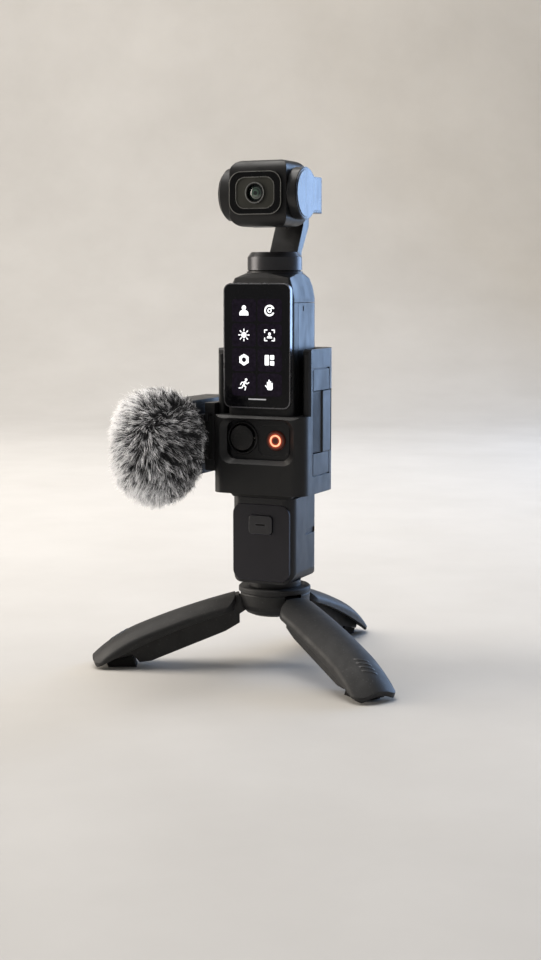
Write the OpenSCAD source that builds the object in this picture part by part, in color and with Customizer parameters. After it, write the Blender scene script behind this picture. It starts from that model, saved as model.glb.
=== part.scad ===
// Three-axis pocket gimbal camera in a clip-on cage, with a clip-on microphone
// in a fur windscreen, a threaded base and a folding mini tripod.
// Millimetres. Z is up, the screen faces -Y, +X is the viewer's right.
// The origin is on the table under the pan axis.

/* [Grip] */
// Width of the camera grip
grip_w = 28.6; // [28.2:0.1:28.8]
// Wall thickness of the grip shells
grip_wall = 1.6; // [1.4:0.1:1.7]
// Height of the seam between shells and shoulder
shoulder_z = 149; // [148.5:0.1:149.4]

/* [Screen] */
// Screen frame width
screen_w = 29.2; // [28.6:0.1:29.4]
// Screen frame height
screen_h = 49.4; // [48.6:0.1:49.6]
// Corner radius of the screen frame
screen_r = 3.2; // [2.4:0.1:4]

/* [Controls] */
// Joystick knob radius
knob_r = 5.0; // [4.6:0.05:5]
// Record button radius
rec_r = 3.95; // [3.6:0.05:3.95]

/* [Head] */
// Height of the tilt and roll axes
axis_z = 191.8; // [191.5:0.1:192.4]
// Half height of the camera head
head_h = 12.9; // [12.4:0.1:13]

/* [Base and tripod] */
// Width of the base handle
base_w = 27.6; // [27:0.1:28]
// Slope of an opened leg, in degrees
leg_slope = 22.4; // [22:0.1:22.8]
// Width of a tripod leg
leg_w = 19.6; // [18:0.2:19.6]

/* [Windscreen] */
// Half height of the fur windscreen
fur_rz = 20.5; // [18:0.5:20.5]

/* [Hidden] */

gy0 = -14.6;            // front face of the grip
gy1 = 12.3;             // back face of the grip
hw = grip_w / 2;
jx = -7.3; jz = 95.2;   // joystick centre
jy = -11.9;             // depth of the joystick's two tilt axes
rx = 7.3; rz = 94.5;    // record button centre
sz = 132.1;             // screen centre height
ty = -7.5;              // tilt axis depth
hinge_l = [-14.6, 15.0];
hinge_r = [18.5, 10.1];
arch_r = 300; nose_r = 60; nose_u = 46;   // the leg's long arch, its nose, and where they meet
leg_r0 = 10.5; leg_z0 = 27.4;   // leg pivot radius and height
legs = [207, 327, 87];          // leg directions: left, right, rear
lever_z = 65.5; lever_y = -8.25;

// ---- helpers -------------------------------------------------------------
module rr(w, h, r) {
  union() {
    square([w - 2 * r, h], center = true);
    square([w, h - 2 * r], center = true);
    for (i = [-1, 1], j = [-1, 1]) translate([i * (w / 2 - r), j * (h / 2 - r)]) circle(r = r, $fn = 48);
  }
}
// rounded plate facing Y, from y0 to y1
module plate_y(cx, cz, w, h, r, y0, y1)
  translate([cx, y1, cz]) rotate([90, 0, 0]) linear_extrude(y1 - y0) rr(w, h, r);
module cyl_y(cx, cz, r, y0, y1)
  translate([cx, y1, cz]) rotate([90, 0, 0]) cylinder(r = r, h = y1 - y0, $fn = 96);
// ra is the radius at y0, rb at y1
module cone_y(cx, cz, ra, rb, y0, y1)
  translate([cx, y1, cz]) rotate([90, 0, 0]) cylinder(r1 = rb, r2 = ra, h = y1 - y0, $fn = 96);
module cyl_x(cy, cz, r, x0, x1)
  translate([x0, cy, cz]) rotate([0, 90, 0]) cylinder(r = r, h = x1 - x0, $fn = 96);
module cone_x(cy, cz, ra, rb, x0, x1)
  translate([x0, cy, cz]) rotate([0, 90, 0]) cylinder(r1 = ra, r2 = rb, h = x1 - x0, $fn = 96);
module cyl_z(cx, cy, r, z0, z1)
  translate([cx, cy, z0]) cylinder(r = r, h = z1 - z0, $fn = 96);
// extrusion along X of a (Y, Z) profile
module ext_x(x0, x1) translate([x0, 0, 0]) rotate([90, 0, 90]) linear_extrude(x1 - x0) children();
// extrusion along Y of an (X, Z) profile
module ext_y(y0, y1) translate([0, y1, 0]) rotate([90, 0, 0]) linear_extrude(y1 - y0) children();
module box(a, b) translate(a) cube([b[0] - a[0], b[1] - a[1], b[2] - a[2]]);

// ---- grip ----------------------------------------------------------------
module grip2d(d = 0) {
  w = hw - d; y0 = gy0 + d; y1 = gy1 - d;
  rf = max(2.4 - d, 0.6); rb = max(6 - d, 0.6);
  union() {
    translate([-w, y0 + rf]) square([2 * w, y1 - rb - y0 - rf]);
    translate([-w + rf, y0]) square([2 * (w - rf), rf + 1]);
    translate([-w + rb, y1 - rb - 1]) square([2 * (w - rb), rb + 1]);
    for (s = [-1, 1]) {
      translate([s * (w - rf), y0 + rf]) circle(r = rf, $fn = 48);
      translate([s * (w - rb), y1 - rb]) circle(r = rb, $fn = 64);
    }
  }
}
module grip_tube(z0, z1) translate([0, 0, z0]) linear_extrude(z1 - z0) difference() { grip2d(0); grip2d(grip_wall); }

module front_shell() color([0.13, 0.13, 0.14]) difference() {
  intersection() {
    grip_tube(73.2, shoulder_z);
    box([-20, -20, 70], [20, -8.9, 160]);
  }
  cyl_y(jx, jz, 6.75, -16, -12);
  cyl_y(rx, rz, rec_r + 0.05, -16, -12);
  cyl_y(0, sz, 5.0, -16, -12);
  plate_y(6.1, 94.5, 13.4, 12.2, 3, -15.6, -14.25);
}
module rear_shell() color([0.13, 0.13, 0.14]) difference() {
  intersection() {
    grip_tube(73.2, shoulder_z);
    box([-20, -8.7, 70], [20, 20, 160]);
  }
  box([12, -4.2, 145.9], [15, -3.4, 147.7]);
}
module shoulder_cap() color([0.15, 0.15, 0.16]) difference() {
  union() {
    hull() {
      translate([0, 0, shoulder_z + 0.15]) linear_extrude(1.6) grip2d(0);
      translate([0, 0, 155.6]) linear_extrude(0.02) grip2d(0.95);
      translate([0, 0, 158.8]) linear_extrude(0.02) grip2d(2.2);
      translate([0, 0, 160.9]) cylinder(r = 11.3, h = 0.02, $fn = 96);
    }
    cyl_z(0, 0, 11.3, 160.5, 161.5);
  }
  translate([0, 0, shoulder_z - 1]) linear_extrude(4.6) grip2d(1.9);
  cyl_z(0, 0, 8.8, 150, 158.6);
  cyl_z(0, 0, 4.0, 158, 162);
}
module bottom_cap() color([0.07, 0.07, 0.08]) difference() {
  hull() {
    translate([0, 0, 71.1]) linear_extrude(0.02) grip2d(1.3);
    translate([0, 0, 72.7]) linear_extrude(0.4) grip2d(0.1);
  }
  for (s = [-1, 1]) box([s * 7.5 - 1.9, -10.9, 70], [s * 7.5 + 1.9, -7.3, 74]);
  translate([0, 0, 70]) linear_extrude(4) rr(9.2, 3.3, 1.6);
}
module main_board() color([0.05, 0.25, 0.12]) union() {
  box([-12.2, -7.5, 76.5], [12.2, -6.3, 146]);
  box([-6, -9.2, 124], [6, -7.4, 136]);
  box([-10, -8.6, 108], [-3, -7.4, 118]);
  box([2, -8.6, 106], [10, -7.4, 114]);
}
module battery_cell() color([0.75, 0.75, 0.78]) translate([0, 0, 77]) linear_extrude(52) translate([0, 5.2]) rr(22, 9.6, 2);
module heat_sink() color([0.7, 0.7, 0.72]) union() {
  box([-12.2, -5.9, 79], [12.2, -4.8, 144]);
  for (x = [-10.2:3.4:10.3]) box([x - 0.4, -4.9, 82], [x + 0.4, -1.4, 142]);
}
module pan_stator() color([0.72, 0.45, 0.2]) difference() {
  union() {
    cyl_z(0, 0, 3.95, 153, 165.6);
    cyl_z(0, 0, 8.1, 162.5, 165.6);
  }
  cyl_z(0, 0, 1.54, 152, 167);
}

// ---- controls ------------------------------------------------------------
module joystick_housing() color([0.1, 0.1, 0.11]) difference() {
  union() {
    cyl_y(jx, jz, 6.7, -15.0, -9.8);
    cone_y(jx, jz, 6.35, 6.7, -15.35, -15.0);
  }
  cyl_y(jx, jz, 5.95, -16, -10.4);
  translate([jx, 0, 0]) cyl_x(jy, jz, 0.72, -6.5, 6.5);
  box([-15, -12.9, 88], [-12.62, -9, 102]);
}
module joystick_yoke() color([0.6, 0.6, 0.62]) difference() {
  union() {
    cyl_y(jx, jz, 3.3, jy - 0.8, jy + 0.8);
    translate([jx, 0, 0]) cyl_x(jy, jz, 0.6, -5.3, 6.35);
  }
  cyl_y(jx, jz, 2.1, jy - 1, jy + 1);
  cyl_z(jx, jy, 0.7, jz - 4, jz + 4);
}
module joystick_knob() color([0.09, 0.09, 0.1]) union() {
  intersection() {
    translate([jx, -2.7, jz]) sphere(r = 14, $fn = 128);
    cyl_y(jx, jz, knob_r, -17, -15.3);
  }
  cyl_y(jx, jz, 1.1, -15.5, -10.9);
  cyl_z(jx, jy, 0.6, jz - 3.2, jz + 3.2);
}
module record_button() color([0.45, 0.05, 0.02]) difference() {
  union() {
    cyl_y(rx, rz, rec_r, -14.9, -12.8);
    cone_y(rx, rz, rec_r - 0.3, rec_r, -15.2, -14.9);
    cyl_y(rx, rz, 4.6, -12.9, -12.3);
    cyl_y(rx, rz, 1, -12.4, -11);
  }
  difference() {
    cyl_y(rx, rz, 2.4, -16, -14.7);
    cyl_y(rx, rz, 1.75, -16.5, -14);
  }
}
module record_light_ring() color([1, 0.55, 0.35]) difference() {
  cyl_y(rx, rz, 2.39, -15.3, -14.7);
  cyl_y(rx, rz, 1.76, -16, -14);
}

// ---- screen --------------------------------------------------------------
module screen_frame() color([0.45, 0.45, 0.47]) difference() {
  plate_y(0, sz, screen_w, screen_h, screen_r, -17.1, -15.2);
  plate_y(0, sz, screen_w - 0.9, screen_h - 0.9, screen_r - 0.45, -18, -16.2);
}
module screen_glass() color([0.02, 0.02, 0.03]) plate_y(0, sz, screen_w - 1, screen_h - 1, screen_r - 0.5, -17.2, -16.2);
module screen_pivot() color([0.6, 0.6, 0.62]) difference() {
  union() {
    cyl_y(0, sz, 4.95, -15.2, -12.8);
    cyl_y(0, sz, 6.3, -12.9, -11.7);
  }
  cyl_y(0, sz, 2.2, -16, -11);
}

// ---- gimbal --------------------------------------------------------------
module pan_housing() color([0.3, 0.3, 0.31]) difference() {
  union() {
    cyl_z(0, 0, 11, 161.9, 167.1);
    translate([0, 0, 167.1]) cylinder(r1 = 11, r2 = 9.5, h = 2, $fn = 96);
  }
  cyl_z(0, 0, 9.35, 161, 166.9);
  box([-6.25, 8.45, 167.25], [6.25, 14, 170]);
}
module pan_rotor() color([0.55, 0.55, 0.57]) union() {
  difference() {
    cyl_z(0, 0, 9.3, 162.2, 166.85);
    cyl_z(0, 0, 8.5, 161, 166.0);
  }
  cyl_z(0, 0, 1.5, 153, 166.2);
}
module gimbal_arm() color([0.12, 0.12, 0.14]) difference() {
  union() {
    ext_x(-6.2, 6.2) polygon([[8.5, 167.3], [8.5, 169.4], [14.2, 180.2], [14.2, axis_z], [19.9, axis_z],
      [19.9, 180.6], [19.3, 179.2], [12.7, 169.4], [12.5, 167.3]]);
    cyl_y(0, axis_z, 9.5, 14.2, 19.4);
    cone_y(0, axis_z, 9.5, 8.7, 19.4, 20.2);
  }
  cyl_y(0, axis_z, 8.3, 14, 18.8);
  cyl_y(0, axis_z, 2.93, 14, 19.3);
}
module roll_stator() color([0.72, 0.45, 0.2]) difference() {
  cyl_y(0, axis_z, 6.6, 14.5, 18.75);
  cyl_y(0, axis_z, 2.95, 14, 19);
}
module roll_bearing() color([0.8, 0.8, 0.82]) difference() {
  cyl_y(0, axis_z, 2.9, 14.7, 19.25);
  cyl_y(0, axis_z, 1.54, 14, 20);
}
module roll_rotor() color([0.3, 0.3, 0.31]) difference() {
  union() {
    cyl_y(0, axis_z, 9.3, 10.85, 13.9);
    cyl_y(0, axis_z, 8.0, 13.8, 18.2);
    cyl_y(0, axis_z, 1.5, 13, 18.9);
  }
  difference() {
    cyl_y(0, axis_z, 7.0, 13.9, 19);
    cyl_y(0, axis_z, 1.5, 13, 19.5);
  }
}
// side disc with its rearward extension, as a (Y, Z) profile
module bracket_side(r, e, h) union() {
  translate([ty, axis_z]) circle(r = r, $fn = 96);
  translate([ty, axis_z - h - 0.2]) square([e - ty, 2 * h]);
}
module bracket_back(r, h) union() {
  translate([0, axis_z]) circle(r = r, $fn = 96);
  translate([0, axis_z - h - 0.2]) square([20, 2 * h]);
}
module tilt_bracket() color([0.2, 0.2, 0.21]) difference() {
  union() {
    intersection() {
      ext_x(13.2, 16.8) bracket_side(10.2, 10.8, 7.1);
      translate([0, 0, 170]) linear_extrude(40) union() {
        translate([12, -20]) square([4.8, 27.8]);
        translate([10, 0]) square([3.8, 10.8]);
        translate([13.8, 7.8]) circle(r = 3.0, $fn = 64);
      }
    }
    intersection() {
      ext_y(8.3, 10.8) bracket_back(9.3, 7.1);
      translate([0, 0, 170]) linear_extrude(40) union() {
        translate([-10, 8]) square([23.8, 3]);
        translate([13.8, 7.8]) circle(r = 3.0, $fn = 64);
      }
    }
  }
  cyl_x(ty, axis_z, 6.65, 13, 14.4);
  cyl_x(ty, axis_z, 2.93, 13, 15.7);
}
module bracket_cover() color([0.22, 0.24, 0.27]) union() {
  ext_x(16.8, 17.2) union() {
    translate([ty, axis_z]) circle(r = 9.9, $fn = 96);
    translate([ty, axis_z - 6.9]) square([14.2, 13.6]);
  }
  ext_x(17.1, 17.5) union() {
    translate([ty, axis_z]) circle(r = 9.3, $fn = 96);
    translate([ty, axis_z - 6.4]) square([13.7, 12.6]);
  }
}
module tilt_stator() color([0.72, 0.45, 0.2]) difference() {
  cyl_x(ty, axis_z, 6.6, 9.9, 14.35);
  cyl_x(ty, axis_z, 2.95, 9, 15);
}
module tilt_bearing() color([0.8, 0.8, 0.82]) difference() {
  cyl_x(ty, axis_z, 2.9, 11, 15.65);
  cyl_x(ty, axis_z, 1.54, 10, 16);
}

// ---- camera head ---------------------------------------------------------
module head_side(d) {
  y0 = -17.6 + d; y1 = 2.2 - d; h = head_h - d; r = 5.2 - d * 0.8;
  translate([(y0 + y1) / 2, axis_z]) rr(y1 - y0, 2 * h, r);
}
module head_front(d, x0, x1) {
  h = head_h - d;
  translate([(x0 + x1) / 2, axis_z]) rr(x1 - x0, 2 * h, 4.4 - d);
}
module head_solid(d, x0, x1) intersection() {
  ext_x(x0, x1) head_side(d);
  ext_y(-30, 10) head_front(d, x0, x1);
}
module head_hollow() difference() {
  head_solid(0, -11.6, 13);
  intersection() { head_solid(1.3, -10.3, 11.8); box([-12, -30, 150], [7.3, 30, 220]); }
  intersection() { head_solid(1.3, -10.3, 11.8); box([8.5, -30, 150], [13, 30, 220]); }
  cyl_x(ty, axis_z, 8.6, 11, 14);
  cyl_x(ty, axis_z, 1.7, 7, 9);
}
module camera_shell() color([0.12, 0.12, 0.13]) difference() {
  intersection() { head_hollow(); box([-20, -30, 150], [20, -2.6, 220]); }
  plate_y(0, axis_z, 16.0, 11.6, 3.6, -19, -15);
}
module camera_back() color([0.13, 0.13, 0.14]) intersection() { head_hollow(); box([-20, -2.45, 150], [20, 10, 220]); }
module camera_end_cap() color([0.25, 0.25, 0.26]) difference() {
  union() {
    cyl_x(ty, axis_z, 10.4, -15.8, -11.7);
    cone_x(ty, axis_z, 8.9, 10.4, -17.2, -15.8);
  }
  cyl_x(ty, axis_z, 9.2, -15.6, -11);
}
module lens_bezel() color([0.03, 0.03, 0.03]) difference() {
  plate_y(0, axis_z, 22.5, 16.7, 5, -18.6, -17.65);
  plate_y(0, axis_z, 17.0, 12.5, 4, -20, -17);
}
module lens_plate() color([0.28, 0.28, 0.24]) difference() {
  plate_y(0, axis_z, 16.9, 12.4, 3.95, -18.35, -17.65);
  cyl_y(0, axis_z, 4.15, -20, -16);
}
module lens_barrel() color([0.05, 0.05, 0.05]) difference() {
  cyl_y(0, axis_z, 4.1, -19.0, -9.6);
  cyl_y(0, axis_z, 3.35, -20, -17.3);
  cyl_y(0, axis_z, 2.6, -18, -9);
}
module lens_glass() color([0.3, 0.45, 0.35, 0.5]) intersection() {
  translate([0, -12.6, axis_z]) sphere(r = 6, $fn = 96);
  cyl_y(0, axis_z, 3.3, -19, -17.3);
}
module image_sensor() color([0.1, 0.2, 0.35]) union() {
  box([-7, -9.3, axis_z - 6.5], [7, -8.2, axis_z + 6.5]);
  box([-5, -9.5, axis_z - 4], [5, -9.2, axis_z + 4]);
}
module tilt_rotor() color([0.55, 0.55, 0.57]) difference() {
  union() {
    cyl_x(ty, axis_z, 8.2, 8.6, 12.7);
    cyl_x(ty, axis_z, 1.5, 9, 15.5);
  }
  difference() {
    cyl_x(ty, axis_z, 7.0, 9.4, 13);
    cyl_x(ty, axis_z, 1.5, 9, 16);
  }
}

// ---- cage ----------------------------------------------------------------
module cage2d() union() {
  translate([-15, -17.7]) square([30, 10]);
  translate([-20.5, -12.2]) square([41, 6]);
  for (s = [-1, 1]) translate([s * 15, -12.2]) circle(r = 5.5, $fn = 96);
  polygon([[-20.5, -7], [-20.5, 8.6], [-20.1, 11.6], [-18.6, 15.0], [-16.6, 16.8],
    [16.6, 16.8], [18.6, 15.0], [20.1, 11.6], [20.5, 8.6], [20.5, -7]]);
}
module groove_yz(y0, z0, y1, z1) box([19.9, y0, z0], [21, y1, z1]);
// blunts the front edges and top front corner of the two side wings
module wing_trim() for (s = [0, 1]) mirror([s, 0, 0]) {
  translate([0, 0, 104.3]) linear_extrude(40) polygon([[18.9, -11.8], [19.9, -11.1], [20.5, -9.9], [21, -9.9], [21, -12]]);
  translate([0, 0, 104.3]) linear_extrude(40) polygon([[17, -12], [17, -10.6], [17.2, -10.6], [17.7, -11.3], [18.5, -11.8]]);
  ext_x(17, 21) polygon([[-12, 131], [-12, 128.4], [-11.5, 128.4], [-10.9, 130.0], [-9.2, 130.8], [-9.2, 131]]);
}
module cage_frame() color([0.14, 0.14, 0.15]) difference() {
  union() {
    difference() {
      translate([0, 0, 72.8]) linear_extrude(58) difference() { cage2d(); grip2d(-0.25); }
      // front: band below, wings above
      box([-22, -20, 104.3], [22, -11.7, 140]);
      box([-17.2, -20, 104.3], [17.2, 6, 140]);
      wing_trim();
      ext_x(-22, 22) polygon([[-18.5, 102.3], [-16.4, 104.4], [-18.5, 104.4]]);
      // cores that lighten the thick sides, open below
      for (s = [-1, 1]) translate([s * 16.6, -1.8, 72]) linear_extrude(29) square([1.6, 13], center = true);
      // control window with flared edges
      plate_y(0, 94.5, 28.0, 15.8, 4, -19, -13);
      hull() {
        plate_y(0, 94.05, 33.2, 18.4, 5, -17.8, -17.7);
        plate_y(0, 94.5, 28.0, 15.8, 4, -15.7, -15.6);
      }
      // rear opening, door hinge and latch clearances
      box([-12.7, 12.0, 80], [14.1, 18, 123]);
      box([-16.6, 12.9, 80], [-12, 18, 123]);
      box([-17.9, 14.7, 80], [-12, 18, 123]);
      box([17.9, -8.3, 89], [22, 10.1, 114.2]);
      box([18.5, 5, 89], [22, 12.2, 114.2]);
      cyl_z(hinge_r[0], hinge_r[1], 1.8, 89, 114.2);
      // shadow lines around the fixed blocks of the latch recess
      for (z = [79.8, 122.6]) groove_yz(-8.3, z, 8.6, z + 0.6);
      for (z = [[79.8, 89.1], [114.1, 123.2]]) {
        groove_yz(-8.3, z[0], -7.7, z[1]);
        groove_yz(8.0, z[0], 8.6, z[1]);
      }
      // pocket for the accessory shoe
      box([-22, -15.6, 81.15], [-19.85, 7.05, 108.85]);
    }
    for (z = [[80, 90], [113, 123]]) {
      cyl_z(hinge_l[0], hinge_l[1], 1.75, z[0], z[1]);
      box([-16.8, 12.6, z[0]], [-12.85, 15.0, z[1]]);
    }
  }
  cyl_z(hinge_l[0], hinge_l[1], 0.82, 80.4, 122.6);
  cyl_z(hinge_r[0], hinge_r[1], 0.82, 80.4, 122.6);
  translate([0, 0, 73]) linear_extrude(50) grip2d(-0.25);
  for (y = [-10, 2], z = [88.5, 101.5]) cyl_x(y, z, 0.82, -20.6, -17.6);
}
module cage_door() color([0.13, 0.13, 0.14]) difference() {
  union() {
    plate_y((-12.5 + 13.9) / 2, 101.5, 26.4, 42.4, 1.5, 13.9, 16.8);
    box([-14.6, 13.9, 90.1], [-12, 16.7, 112.9]);
    cyl_z(hinge_l[0], hinge_l[1], 1.75, 90.1, 112.9);
  }
  cyl_z(hinge_l[0], hinge_l[1], 0.84, 89, 114);
  plate_y(2, 101.5, 17, 32, 3, 16.4, 18);
}
module door_pins() color([0.75, 0.75, 0.77]) for (p = [hinge_l, hinge_r]) cyl_z(p[0], p[1], 0.8, 80.5, 122.5);
module latch_lever() color([0.17, 0.17, 0.18]) difference() {
  union() {
    translate([0, 0, 89.3]) linear_extrude(24.6)
      polygon([[18.2, -7.4], [18.9, -7.4], [19.5, -6.9], [20.4, 0.3], [21.0, 0.8], [21.0, 8.6], [20.1, 10.4], [18.2, 10.4]]);
    cyl_z(hinge_r[0], hinge_r[1], 1.6, 89.3, 113.9);
  }
  cyl_z(hinge_r[0], hinge_r[1], 0.84, 88, 115);
}
// accessory shoe: slot across Z, open to the front
module cold_shoe() color([0.1, 0.1, 0.11]) difference() {
  box([-24.2, -15, 81.2], [-19.9, 7, 108.8]);
  box([-22.8, -16, 95 - 9.35], [-20.8, 5.6, 95 + 9.35]);
  box([-25, -16, 95 - 6.4], [-22.6, 5.6, 95 + 6.4]);
  for (y = [-10, 2], z = [88.5, 101.5]) {
    cyl_x(y, z, 0.85, -21.6, -19);
    cyl_x(y, z, 1.55, -21.6, -20.3);
  }
}
module shoe_screws() color([0.75, 0.75, 0.77]) for (y = [-10, 2], z = [88.5, 101.5]) difference() {
  union() {
    cyl_x(y, z, 0.8, -20.5, -17.8);
    cyl_x(y, z, 1.5, -20.82, -20.32);
  }
  box([-21, y - 0.2, z - 0.9], [-20.6, y + 0.2, z + 0.9]);
}

// ---- base handle ---------------------------------------------------------
module base_front2d() union() {
  translate([-base_w / 2, 41]) square([base_w, 30]);
  translate([-base_w / 2 + 5, 36]) square([base_w - 10, 6]);
  for (s = [-1, 1]) translate([s * (base_w / 2 - 5), 41]) circle(r = 5, $fn = 64);
}
module base_shell() color([0.2, 0.2, 0.22]) difference() {
  union() {
    difference() {
      intersection() {
        ext_y(-13.05, 12.8) base_front2d();
        translate([0, -0.125, 30]) linear_extrude(50) rr(base_w + 0.01, 25.85, 4.5);
      }
      box([-12, -11.2, 38.6], [12, 11, 69.4]);
    }
    for (s = [-1, 1]) box([s * 11.55 - 0.55, -10.2, 63.4], [s * 11.55 + 0.55, -6.4, 67.6]);
    box([-12.1, -3.4, 54.5], [12.1, -2.2, 61.5]);
    cyl_z(0, 0, 7, 38, 46);
  }
  cyl_z(0, 0, 5.0, 35, 47);
  plate_y(0, 52.7, 25.2, 31.2, 4, -14, -12.1);
  plate_y(0, 60.05, 10.5, 7.8, 1.6, -14, -11);
  cyl_x(lever_y, lever_z, 1.04, -12, 12);
  for (s = [-1, 1]) box([s * 7.5 - 1.9, -10.9, 69], [s * 7.5 + 1.9, -7.3, 72]);
  translate([0, 0, 69]) linear_extrude(4) rr(9.2, 3.3, 1.6);
  // finger notch and cover seam on the right side
  box([13.1, 0, 55], [15, 9.5, 57.4]);
  box([13.4, 9.6, 55], [15, 9.95, 72]);
}
module base_panel() color([0.25, 0.25, 0.29]) difference() {
  plate_y(0, 52.7, 25.0, 31.0, 3.9, -13.25, -12.15);
  plate_y(0, 60.05, 10.5, 7.8, 1.6, -14, -11);
}
module base_button() color([0.4, 0.4, 0.42]) difference() {
  union() {
    plate_y(0, 60.05, 10.2, 7.5, 1.5, -14.0, -11.0);
    box([-6, -11.1, 55.55], [6, -10.3, 64.55]);
    cyl_y(0, 59.5, 0.8, -10.5, -9.15);
  }
  box([-2.2, -15, 59.7], [2.2, -13.7, 60.4]);
}
module button_spring() color([0.8, 0.8, 0.82]) union() {
  for (i = [0:4]) translate([0, -7.2 + i * 0.85, 58]) rotate([90, 0, 0])
    rotate_extrude($fn = 48) translate([2, 0]) circle(r = 0.28, $fn = 16);
  for (i = [0:3]) cyl_y(i % 2 == 0 ? 2 : -2, 58, 0.2, -7.2 + i * 0.85, -6.35 + i * 0.85);
}
module release_lever() color([0.6, 0.6, 0.62]) union() {
  box([-9.4, -8.9, 56.6], [9.4, -7.6, 69.2]);
  cyl_x(lever_y, lever_z, 1.0, -11.9, 11.9);
  for (s = [-1, 1]) {
    box([s * 7.5 - 1.5, -8.9, 69], [s * 7.5 + 1.5, -7.6, 74.8]);
    box([s * 7.5 - 1.5, -7.7, 73.4], [s * 7.5 + 1.5, -6.3, 74.8]);
  }
}
module thread_insert() color([0.8, 0.65, 0.3]) difference() {
  cyl_z(0, 0, 4.97, 36.2, 46);
  cyl_z(0, 0, 3.2, 35, 47);
}

// ---- tripod --------------------------------------------------------------
module tripod_stud() color([0.55, 0.55, 0.57]) union() {
  cyl_z(0, 0, 3.15, 35, 44.6);
  cyl_z(0, 0, 10.8, 33.45, 35.95);
  cyl_z(0, 0, 4.0, 28, 34);
}
module at_leg(az) rotate([0, 0, az]) translate([leg_r0, 0, leg_z0]) rotate([0, leg_slope, 0]) children();
module tripod_hub() color([0.18, 0.18, 0.19]) difference() {
  rotate_extrude($fn = 128) polygon([[0, 33.4], [14.3, 33.4], [14.8, 32.9], [14.8, 31.3], [14.35, 31.1], [14.35, 30.7],
    [14.6, 30.5], [14.2, 26], [13.4, 24.2], [11.8, 22.6], [9.5, 21.6], [0, 21.6]]);
  cyl_z(0, 0, 4.05, 27.9, 34);
  for (a = legs) rotate([0, 0, a]) {
    box([6.2, -3.8, 20], [16, 3.8, 30.95]);
    translate([leg_r0, -7, leg_z0]) rotate([-90, 0, 0]) cylinder(r = 1.02, h = 14, $fn = 48);
  }
}
module leg_pins() color([0.75, 0.75, 0.77]) for (a = legs) rotate([0, 0, a])
  translate([leg_r0, -6.8, leg_z0]) rotate([-90, 0, 0]) cylinder(r = 1.0, h = 13.6, $fn = 48);
// leg section across its width, as (height, width): a crown with filleted sides; t insets it
module leg_sec(t) {
  rc = 13.5 - t; rf = max(2.4 - t, 0.7); wi = leg_w / 2 - t;
  k = rc - rf; vc = -8.1 + sqrt(k * k - (wi - rf) * (wi - rf)); q = rc / k;
  union() {
    intersection() {
      translate([-8.1, 0]) circle(r = rc, $fn = 128);
      translate([-6, -(wi - rf) * q]) square([20, 2 * (wi - rf) * q]);
    }
    for (i = [-1, 1]) translate([vc, i * (wi - rf)]) circle(r = rf, $fn = 48);
    translate([-6, -wi]) square([vc + 6, 2 * wi]);
  }
}
// a section carried along the leg: a shallow arch, then a tighter one over the nose
module leg_path() {
  translate([nose_u, 0, 8 - arch_r]) rotate([90, 0, 0]) rotate([0, 0, 90])
    rotate_extrude(angle = 12, $fn = 256) translate([arch_r - 5.4, 0]) children();
  translate([nose_u, 0, 8 - nose_r]) rotate([90, 0, 0]) mirror([1, 0, 0]) rotate([0, 0, 90])
    rotate_extrude(angle = 40, $fn = 256) translate([nose_r - 5.4, 0]) children();
}
module leg(az) color([0.2, 0.2, 0.21]) at_leg(az) difference() {
  union() {
    difference() {
      intersection() {
        leg_path() leg_sec(0);
        translate([36.55, 0, -20]) linear_extrude(40) leg_plan();
      }
      intersection() {
        leg_path() leg_sec(1.8);
        box([1, -20, -20], [75, 20, 30]);
      }
      // rim: a curved lower edge
      ext_x_w(14) intersection() {
        translate([36, -265.7]) circle(r = 266.7, $fn = 360);
        translate([-10, -30]) square([90, 40]);
      }
    }
    intersection() {
      ext_x_w(3.6) polygon([[3, -3], [5.8, -3.6], [7.2, -7], [14, -8.0], [47, -7.7], [51.6, -6.4], [53, -2.5], [66.9, -0.5],
        [66.9, 9], [4.6, 9], [3, 4]]);
      leg_path() translate([-19, -8]) square([23.45, 16]);
    }
    ext_x_w(3.6) polygon([[0, -2.9], [4, -3], [8, -3.6], [8, 3.9], [4.6, 3.7], [2, 2.4], [0, 2.9]]);
    rotate([-90, 0, 0]) translate([0, 0, -3.6]) cylinder(r = 3, h = 7.2, $fn = 64);
  }
  rotate([-90, 0, 0]) translate([0, 0, -10]) cylinder(r = 1.04, h = 20, $fn = 48);
}
// outline of the leg from above: rounder at the hub end
module leg_plan() union() {
  translate([-25, -9.8]) square([52, 19.6]);
  translate([-32.05, -2.8]) square([10, 5.6]);
  translate([20, -4.8]) square([12.05, 9.6]);
  for (i = [-1, 1]) {
    translate([-25.05, i * 2.8]) circle(r = 7, $fn = 96);
    translate([27.05, i * 4.8]) circle(r = 5, $fn = 64);
  }
}
// extrusion across the leg of a (length, height) profile, half width w
module ext_x_w(w) translate([0, w, 0]) rotate([90, 0, 0]) linear_extrude(2 * w) children();
module foot(az) color([0.05, 0.05, 0.05]) intersection() {
  at_leg(az) ext_x_w(4.2) polygon([[53.4, -2.5], [53.4, -9], [60.5, -9], [64.2, -3.2], [64.2, -0.97]]);
  translate([-100, -100, 0]) cube([200, 200, 40]);
}

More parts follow.
